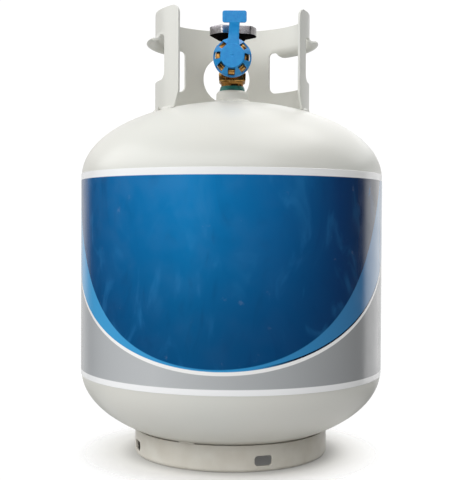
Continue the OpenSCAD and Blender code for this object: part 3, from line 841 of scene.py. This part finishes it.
def build_collar():
    """Sheet round the valve, with a front opening, two hand holes with curled tabs and a back hole."""
    per_degree = COLLAR_MID * math.pi / 180
    around = 360 * per_degree
    right, left = 52.2 * per_degree, (360 - 46.4) * per_degree
    foot = TANGENT_HIGH + head_z(COLLAR_R - COLLAR_T) - 0.3
    slant, slant_top = 6.2, 366.0
    outline = [
        (right + slant, foot, 1), (73 * per_degree - 3, foot), (73 * per_degree - 2.6, foot + 1.5),
        (73 * per_degree - 1.5, foot + 2.6), (73 * per_degree, foot + 3), (73 * per_degree + 1.5, foot + 2.6),
        (73 * per_degree + 2.6, foot + 1.5), (73 * per_degree + 3, foot)]
    outline += [(around - x, z) for x, z in reversed(outline[1:])]
    outline += [
        (left - slant, foot, 1), (left, slant_top, 12), (left, COLLAR_TOP, 9),
        (right, COLLAR_TOP, 9), (right, slant_top, 12)]
    hole, tab_from, tab_to = hand_hole_outline()
    mirrored = [Vector((around - p.x, p.y)) for p in reversed(hole)]
    back = []
    for p in arc_points(0, 397, 26, 0, 352.5, 47):
        back.append(Vector((around / 2 + COLLAR_MID * math.asin(p.x / COLLAR_MID), p.y)))
    outlines = [rounded(outline, 8), hole, mirrored, back]

    lip_out, lip_down, lip_tip, high = 6.6, 8.6, 3.4, 429.0
    curl = [Vector((lip_out + lip_out * math.cos(math.radians(a)), lip_down * math.sin(math.radians(a))))
            for a in range(180, 271, 6)]
    curl += arc_points(lip_out, lip_tip - lip_down, lip_tip, 276, 336, 10)
    at, length = bent_path(curl)

    def place(along, up, out):
        folded = min(along, around - along)
        azimuth = along / COLLAR_MID + math.radians(COLLAR_TURN)
        if up >= high or up < high - length - 1 or not tab_from < folded < tab_to:
            return upright(COLLAR_MID + out, azimuth, up)
        middle, direction = at(high - up)
        point = middle + Vector((-direction.y, direction.x)) * out
        return upright(COLLAR_MID + point.x, azimuth, high + point.y)

    cuts = [around * k / 216 for k in range(1, 216)]
    levels = [high - 0.7 * k for k in range(0, 23)]
    sheet = rolled_sheet("collar_sheet", outlines, COLLAR_T, 0.4, cuts, levels, place)
    add(sheet, "collar")


def build_collar_welds():
    """Beads on the outside of the collar's feet, with gaps at the drain notches."""
    slope = -0.30
    foot = TANGENT_HIGH + head_z(COLLAR_R)
    spans = [(-128, -80), (-66, -52.5), (58.5, 66), (80, 128), (150, 210)]
    beads = []
    for k, (start, end) in enumerate(spans):
        corner = (COLLAR_R - 0.1, foot + 0.3)
        beads.append(bead(f"collar_weld_{k + 1}", start + COLLAR_TURN, end + COLLAR_TURN, corner,
                          (0, 2.9), (3.2, 3.2 * slope)))
    add_joined(beads, "collar_welds")


def build_boss():
    foot = span("valve_boss")[0].z
    profile = rounded([
        (12.6, foot), (BOSS_R, foot), (BOSS_R, BOSS_TOP - 2.2, 2.0), (BOSS_R - 2.2, BOSS_TOP, 2.0),
        (13.4, BOSS_TOP, 0.5), (12.6, BOSS_TOP - 0.8)])
    add(lathe("boss", [tuple(p) for p in profile], 128), "valve_boss")
    weld = bead("boss_bead", 0, 360, (BOSS_R, TANGENT_HIGH + head_z(BOSS_R)), (0, 4.0), (4.0, -0.25))
    add(weld, "boss_weld")


# ---------------------------------------------------------------- valve

def thread_wave(low, high, pitch, depth):
    """Crests and roots of a screw thread with sloping flanks, which fade out at its two ends."""

    def wave(radius, angle, height):
        if not low < height < high or radius < THREAD_R - 1:
            return radius
        phase = (height / pitch + angle / (2 * math.pi)) % 1.0
        groove = min(1.0, max(0.0, (abs(phase - 0.5) - 0.17) / 0.13))
        fade = min(1.0, (height - low) / 1.0, (high - height) / 1.0)
        return radius - depth * groove * fade

    return wave


def square_with_round_corners(width, depth, corner_r):
    """Outline of a block whose corners are turned down to corner_r."""
    points = []
    for quarter in range(4):
        side, other = (width / 2, depth / 2) if quarter % 2 == 0 else (depth / 2, width / 2)
        start = math.degrees(math.acos(side / corner_r))
        end = math.degrees(math.asin(other / corner_r))
        points += arc_points(0, 0, corner_r, 90 * quarter + start, 90 * quarter + end, 4)
    return points


def build_sealant():
    """Ridged collar of sealant that the threads have squeezed out over the shank's cone."""
    low, high = (corner.z for corner in span("thread_sealant"))
    steps = 22
    outer = []
    for k in range(steps + 1):
        share = k / steps
        radius = 13.2 - 0.15 * share - 1.15 * max(0, share - 0.3) - 0.25 * share ** 8
        outer.append((radius, low + (high - low) * share))
    profile = [(12.4, low)] + outer + [(11.4, high)]

    def ridges(radius, angle, height):
        if radius < 11.5:
            return radius
        thread = 0.08 * math.sin(2 * math.pi * (height / 1.8) + angle)
        lumps = 0.06 * math.sin(5 * angle + height) + 0.04 * math.sin(11 * angle - 2.3 * height)
        return radius - 0.08 + thread + lumps

    add(lathe("sealant_bead", profile, 128, wave=ridges, sharp=80), "thread_sealant")


def build_valve_body():
    """Forged body: shank, wrench block, barrel, threaded outlet and relief port, with its hollows."""
    shank_foot = span("valve_body")[0].z
    barrel_top = span("valve_body")[1].z
    shank = rounded([(0, shank_foot), (12.5, shank_foot, 0.8), (12.5, BOSS_TOP + 1.2, 0.8),
                     (11.4, BOSS_TOP + 4.6, 3), (11.5, 380.2, 2), (13.0, 382.4), (0, 382.4)], 6)
    barrel = rounded([(0, 383), (13.4, 383), (13.5, barrel_top, 0.8), (0, barrel_top)])
    arm = rounded([(0, 1), (13.5, 1), (13.5, 25.2, 0.6), (15.4, 26.0, 0.4)])
    thread_low, thread_high = 27.0, 39.2
    count = 60
    for k in range(count + 1):
        arm.append(Vector((THREAD_R, thread_low + (thread_high - thread_low) * k / count)))
    arm += [Vector(p) for p in ((15.2, 40.2), (14.0, 40.6), (14.0, 42.4), (13.4, 43.0), (0, 43.0))]
    relief = rounded([(0, 1), (9.0, 1), (9.0, 27.0, 1.0), (0, 27.0)])
    wave = thread_wave(thread_low, thread_high, 5.08, 1.5)
    block = prism("block", square_with_round_corners(27.2, 26.6, 17.2), 382, 391.5, 1.8, taper=0.03)
    solids = [
        lathe("barrel", [tuple(p) for p in barrel], 128),
        block,
        lathe("arm", [tuple(p) for p in arm], 144, along_outlet, wave),
        lathe("relief", [tuple(p) for p in relief], 96, along_relief),
    ]
    body = combine(lathe("valve_casting", [tuple(p) for p in shank], 128), "UNION", solids)
    bore = [(0, 12), (8, 12), (8, 22), (9.5, 22), (9.5, 25), (11.25, 25), (11.25, 38.1), (12.3, 38.9),
            (12.3, 42.6), (12.9, 44), (0, 44)]
    port = [(0, 13), (6.5, 13), (6.5, 26.6), (7.1, 28), (0, 28)]
    socket = [(0, 396), (7.3, 396), (7.3, 409.5), (10.05, 409.5), (10.05, 417), (0, 417)]
    throat = [(0, shank_foot - 1), (6.05, shank_foot - 1), (6.05, 355.2), (4.5, 355.2), (4.5, 394), (0, 394)]
    bleed_x, bleed_z = (BLEED[0].x + BLEED[1].x) / 2, (BLEED[0].z + BLEED[1].z) / 2

    def along_bleed(radius, angle, height):
        return Vector((bleed_x + radius * math.sin(angle), -height, bleed_z + radius * math.cos(angle)))

    hollows = [
        lathe("bore", bore, 120, along_outlet),
        lathe("port", port, 96, along_relief),
        lathe("socket", socket, 96),
        lathe("throat", throat, 96),
        lathe("bleed", [(0, 6), (2.02, 6), (2.02, 13.1), (2.5, 14), (2.5, 16), (0, 16)], 48, along_bleed),
    ]
    add(combine(body, "DIFFERENCE", hollows), "valve_body")


def build_bonnet():
    """Hexagonal bonnet with chamfered corners and a round gland."""
    low, high = (corner.z for corner in span("bonnet"))
    hexagon = [Vector((12.6 * math.cos(math.radians(60 * k)), 12.6 * math.sin(math.radians(60 * k))))
               for k in range(6)]
    nut = prism("bonnet_nut", hexagon, 416, 421.5, 0.25)
    chamfer = lathe("chamfer", [(0, 415), (12.9, 415), (12.9, 420.4), (10.9, 422), (0, 422)], 96)
    nut = combine(nut, "INTERSECT", [chamfer], 25)
    shank = rounded([(0, low), (10.0, low), (10.0, 416.4), (7.0, 416.4), (7.0, high, 0.7), (0, high)])
    whole = combine(nut, "UNION", [lathe("gland", [tuple(p) for p in shank], 96)], 25)
    bore = [(0, low - 1), (7.7, low - 1), (7.7, 414.8), (4.05, 414.8), (4.05, high + 1), (0, high + 1)]
    add(combine(whole, "DIFFERENCE", [lathe("bonnet_bore", bore, 72)], 25), "bonnet")


def coil(name, mean_r, wire_r, turns, length, place):
    """Closed compression spring with flat-lying end turns, placed by (radius, angle, height)."""
    per_turn, sides, rings = 40, 12, []
    count = int(turns * per_turn)
    bm = bmesh.new()
    for k in range(count + 1):
        share = k / count
        lift = (share + 0.07 * math.sin(2 * math.pi * 2 * share)) * (length - 2 * wire_r) + wire_r
        angle = 2 * math.pi * k / per_turn
        ring = []
        for side in range(sides):
            a = 2 * math.pi * side / sides
            across, up = wire_r * math.cos(a), wire_r * math.sin(a)
            ring.append(bm.verts.new(place(mean_r + across, angle, lift + up)))
        rings.append(ring)
    for one, two in zip(rings, rings[1:]):
        for side in range(sides):
            n = (side + 1) % sides
            bm.faces.new((one[side], one[n], two[n], two[side]))
    bm.faces.new(rings[0])
    bm.faces.new(rings[-1])
    return finished(bm, name, 60)


def build_valve_springs():
    """Springs of the outlet poppet and the relief poppet."""
    springs = (("outlet_spring", "outlet_poppet_travel", 5.0, 0.5),
               ("relief_spring", "relief_poppet_travel", 3.4, 0.6))
    for node, joint, mean_r, wire_r in springs:
        low, high = span(node)
        length = high.y - low.y
        middle = (low.z + high.z) / 2

        def place(radius, angle, height):
            return Vector((radius * math.sin(angle), high.y - height, middle + radius * math.cos(angle)))

        spring = add(coil(node + "_wire", mean_r, wire_r, 4, length, place), node)
        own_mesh(spring)


def wheel_outline(inset=0.0):
    """Round blank with three flats; the corners between them are softened."""
    blank, flat, soft = WHEEL_R - inset, WHEEL_FLAT - inset, 5.0
    points = []
    count = 180
    for k in range(count):
        angle = 2 * math.pi * k / count
        flats = (angle - math.radians(WHEEL_AZ - 90 + 120 * i) for i in range(3))
        nearest = min(abs((off + math.pi) % (2 * math.pi) - math.pi) for off in flats)
        limit = flat / max(0.3, math.cos(nearest))
        r = min(blank, limit) - math.log(1 + math.exp(-soft * abs(blank - limit))) / soft
        points.append(Vector((r * math.cos(angle), r * math.sin(angle))))
    return points


def build_handwheel():
    """Die-cast wheel: three flats, a recessed face with a raised seat for the screw, and a tapered hub."""
    wheel = prism("wheel", wheel_outline(), WHEEL_RIM, WHEEL_HIGH, 0.7)
    hub = rounded([(0, WHEEL_LOW), (12.5, WHEEL_LOW, 0.8), (15.6, WHEEL_RIM), (15.6, WHEEL_RIM + 2),
                   (0, WHEEL_RIM + 2)])
    wheel = combine(wheel, "UNION", [lathe("hub", [tuple(p) for p in hub], 128)])
    recess = prism("recess", wheel_outline(3.0), WHEEL_HIGH - 2.6, WHEEL_HIGH + 1.5, 0.7)
    hole = lathe("hole", [(0, 420), (4.02, 420), (4.02, 436.02), (0, 436.02)], 72)
    wheel = combine(wheel, "DIFFERENCE", [recess, hole])
    seat = rounded([(0, 435), (7.2, 435), (6.6, 436.9, 0.5), (5.4, 436.9, 0.3), (5.2, 436.0), (0, 436.0)])
    ring = combine(lathe("seat", [tuple(p) for p in seat], 96), "DIFFERENCE",
                   [lathe("seat_hole", [(0, 430), (4.02, 430), (4.02, 440), (0, 440)], 72)])
    add(combine(wheel, "UNION", [ring]), "handwheel")


def build_wheel_screw():
    low, high = (corner.z for corner in span("handwheel_screw"))
    head = rounded([(0, 436.05), (4.7, 436.05, 0.3), (4.7, 437.2, 0.6), (3.6, high, 0.5), (0, high)])
    shank = [(0, low), (2.2, low), (2.4, low + 0.6), (2.4, 436.3), (0, 436.3)]
    screw = combine(lathe("screw", [tuple(p) for p in head], 72), "UNION", [lathe("shank", shank, 48)])
    slot = [Vector(p) for p in ((-6, -0.5), (6, -0.5), (6, 0.5), (-6, 0.5))]
    cut = prism("slot", slot, 437.5, 440, 0.05)
    add(combine(screw, "DIFFERENCE", [cut]), "handwheel_screw")


# ---------------------------------------------------------------- dust cap

def cap_place(x, y, z):
    """From the cap's own face (x across, y up from the axis, z towards the front) to the turned cap."""
    c, s = math.cos(CAP_TURN), math.sin(CAP_TURN)
    return Vector((x * c + y * s, -z, OUTLET_Z - x * s + y * c))


def cap_profile():
    """Hub, sloping skirt, ring and short plug as (radius, distance from the spindle's axis)."""
    wall, plug_r, plug_end, ring_front = 2.6, 11.9, 39.3, 41.0
    inner = CAP_R - 1.6
    back = CAP_FRONT - wall
    return rounded([
        (0, CAP_FRONT - 0.25), (1.0, CAP_FRONT - 0.25), (1.3, CAP_FRONT), (CAP_HUB_R, CAP_FRONT, 0.9),
        (CAP_R, ring_front + 0.3, 1.2), (CAP_R, CAP_BACK, 0.35), (inner, CAP_BACK, 0.35),
        (inner, ring_front - 0.4, 0.8), (plug_r, back - 0.7, 0.4), (plug_r, plug_end, 0.4),
        (plug_r - 1.5, plug_end, 0.4), (plug_r - 1.5, back, 0.6), (0, back)])


def cap_slots():
    """Seven slots that run out through the front of the skirt, none under the tab."""
    from_r, to_r, width = CAP_HUB_R + 0.1, CAP_R + 2.0, 7.0
    cutters = []
    for k in range(1, 8):
        a = math.radians(45 * k)
        corners = [(-width / 2, from_r, 0.9), (width / 2, from_r, 0.9), (width / 2, to_r, 0.9),
                   (-width / 2, to_r, 0.9)]
        turned = [Vector((p.x * math.cos(a) + p.y * math.sin(a), -p.x * math.sin(a) + p.y * math.cos(a)))
                  for p in rounded(corners, 4)]
        cutters.append(prism(f"cap_slot_{k}", turned, 38.2, CAP_FRONT + 4, 0.1, cap_place))
    return cutters


def build_cap():
    steps = 160

    def place(radius, angle, height):
        return cap_place(radius * math.sin(angle), radius * math.cos(angle), height)

    body = lathe("cap", [tuple(p) for p in cap_profile()], steps, place)
    body = combine(body, "DIFFERENCE", cap_slots())
    strap, thick, head_w, head_low, head_top = 10.4, 2.4, 24.0, 32.4, 44.2
    foot = CAP_HUB_R - 3

    def level(outline):
        """Turns the tab's head back, so that it stays level on the leaning strap."""
        pivot = Vector((0, head_low))
        return [pivot + Matrix.Rotation(CAP_TURN, 2) @ (p - pivot) for p in outline]

    stem = rounded([
        (-strap / 2 - 1.6, foot), (strap / 2 + 1.6, foot), (strap / 2, foot + 9, 6),
        (strap / 2, head_low + 3), (-strap / 2, head_low + 3), (-strap / 2, foot + 9, 6)], 5)
    sides = [(-head_w / 2, head_low, 2.2), (head_w / 2, head_low, 2.2),
             (head_w / 2, head_top, 2.2), (-head_w / 2, head_top, 2.2)]
    front = CAP_FRONT - 0.2
    tab = [prism("strap", stem, front - thick + 0.05, front - 0.05, 0.5, cap_place),
           prism("head", level(rounded(sides, 5)), front - thick, front, 0.5, cap_place)]
    ribs = []
    for k in range(-4, 5):
        x = 2.3 * k
        rib = rounded([(x - 0.45, head_low + 2.4, 0.4), (x + 0.45, head_low + 2.4, 0.4),
                       (x + 0.45, head_top - 2.4, 0.4), (x - 0.45, head_top - 2.4, 0.4)], 3)
        ribs.append(prism(f"rib_{k + 5}", level(rib), front - 0.6, front + 0.19, 0.15, cap_place))
    add(combine(body, "UNION", tab + ribs), "dust_cap")


def finish_carried_nodes():
    """Gives the CAD nodes that stay visible the material of their slot."""
    for name, node in frame["nodes"].items():
        if node.hide_render:
            continue
        material = MATERIALS[SLOT_OF[name]]
        node.data.materials.clear()
        node.data.materials.append(material)


make_camera()
make_stage()
MATERIALS = make_materials()
build_shells()
build_sleeve()
build_foot_ring()
build_foot_welds()
build_collar()
build_collar_welds()
build_boss()
build_sealant()
build_valve_body()
build_bonnet()
build_handwheel()
build_wheel_screw()
build_valve_springs()
build_cap()
finish_carried_nodes()
